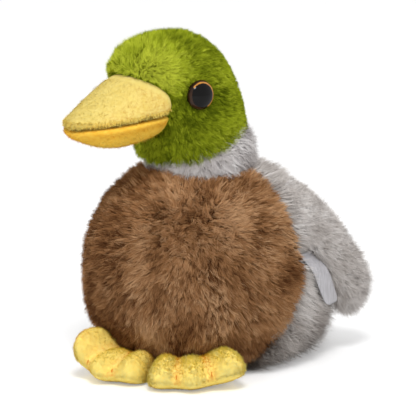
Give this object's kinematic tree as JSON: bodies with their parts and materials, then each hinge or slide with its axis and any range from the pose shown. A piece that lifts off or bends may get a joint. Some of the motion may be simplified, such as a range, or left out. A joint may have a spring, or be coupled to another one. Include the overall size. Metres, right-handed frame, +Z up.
{
  "type": "plush duck",
  "caption": "Small sitting plush duck: stuffed body, turning head with a soft beak and safety eyes, sewn wings and toed feet that hinge.",
  "frame": {"origin": "near the middle of the flat spot under the body that the duck sits on", "axes": "+Z up, -Y the way the body faces, +X towards the duck's left side"},
  "size_m": [0.1182, 0.1792, 0.1723],
  "materials": {
    "brown_pile": "long brown pile",
    "grey_pile": "long grey pile",
    "white_pile": "pale grey pile",
    "green_pile": "medium green pile",
    "yellow_pile": "short yellow pile",
    "orange_pile": "short orange pile",
    "lining_cloth": "short grey pile",
    "stuffing": "loose white fibre",
    "bag_cloth": "thin woven cloth full of pellets",
    "eye_plastic": "moulded, glossy",
    "washer_plastic": "moulded, matt",
    "satin_ribbon": "satin"
  },
  "bodies": {
    "body": {"breast_cover": "brown_pile", "back_cover": "grey_pile", "body_stuffing": "stuffing", "pellet_bag": "bag_cloth", "tail_cover": "grey_pile", "tail_stuffing": "stuffing", "side_ribbon": "satin_ribbon"},
    "neck": {"neck_band": "white_pile", "neck_stuffing": "stuffing"},
    "head": {"head_cover": "green_pile", "head_stuffing": "stuffing", "upper_beak_cover": "yellow_pile", "upper_beak_stuffing": "stuffing", "lower_beak_cover": "orange_pile", "lower_beak_stuffing": "stuffing", "left_eye": "eye_plastic", "left_eye_washer": "washer_plastic", "right_eye": "eye_plastic", "right_eye_washer": "washer_plastic"},
    "left_wing": {"left_wing_outer": "grey_pile", "left_wing_lining": "lining_cloth", "left_wing_stuffing": "stuffing"},
    "right_wing": {"right_wing_outer": "grey_pile", "right_wing_lining": "lining_cloth", "right_wing_stuffing": "stuffing"},
    "left_foot": {"left_foot_upper": "yellow_pile", "left_foot_sole": "orange_pile", "left_foot_stuffing": "stuffing"},
    "right_foot": {"right_foot_upper": "yellow_pile", "right_foot_sole": "orange_pile", "right_foot_stuffing": "stuffing"}
  },
  "joints": [
    {"name": "neck_turn", "type": "hinge", "parent": "body", "child": "neck", "pos_m": [0, -0.013, 0.108], "axis": [0, -0.2588, 0.9659], "range_deg": [-20, 20], "stiffness_Nm_per_rad": 0.3},
    {"name": "head_nod", "type": "hinge", "parent": "neck", "child": "head", "pos_m": [0, -0.013, 0.108], "axis": [0.9613, -0.2756, 0], "range_deg": [-8, 8], "stiffness_Nm_per_rad": 0.3},
    {"name": "left_wing_lift", "type": "hinge", "parent": "body", "child": "left_wing", "pos_m": [0.04937, -0.0005, 0.0863], "axis": [0.5316, 0, -0.847], "range_deg": [0, 65]},
    {"name": "right_wing_lift", "type": "hinge", "parent": "body", "child": "right_wing", "pos_m": [-0.04937, -0.0005, 0.0863], "axis": [0.5316, 0, 0.847], "range_deg": [0, 65]},
    {"name": "left_foot_bend", "type": "hinge", "parent": "body", "child": "left_foot", "pos_m": [0.0125, -0.0435, 0.0022], "axis": [0.809, 0.5878, 0], "range_deg": [0, 35], "stiffness_Nm_per_rad": 0.02},
    {"name": "right_foot_bend", "type": "hinge", "parent": "body", "child": "right_foot", "pos_m": [-0.0125, -0.0435, 0.0022], "axis": [0.9998, -0.0175, 0], "range_deg": [0, 35], "stiffness_Nm_per_rad": 0.02}
  ]
}
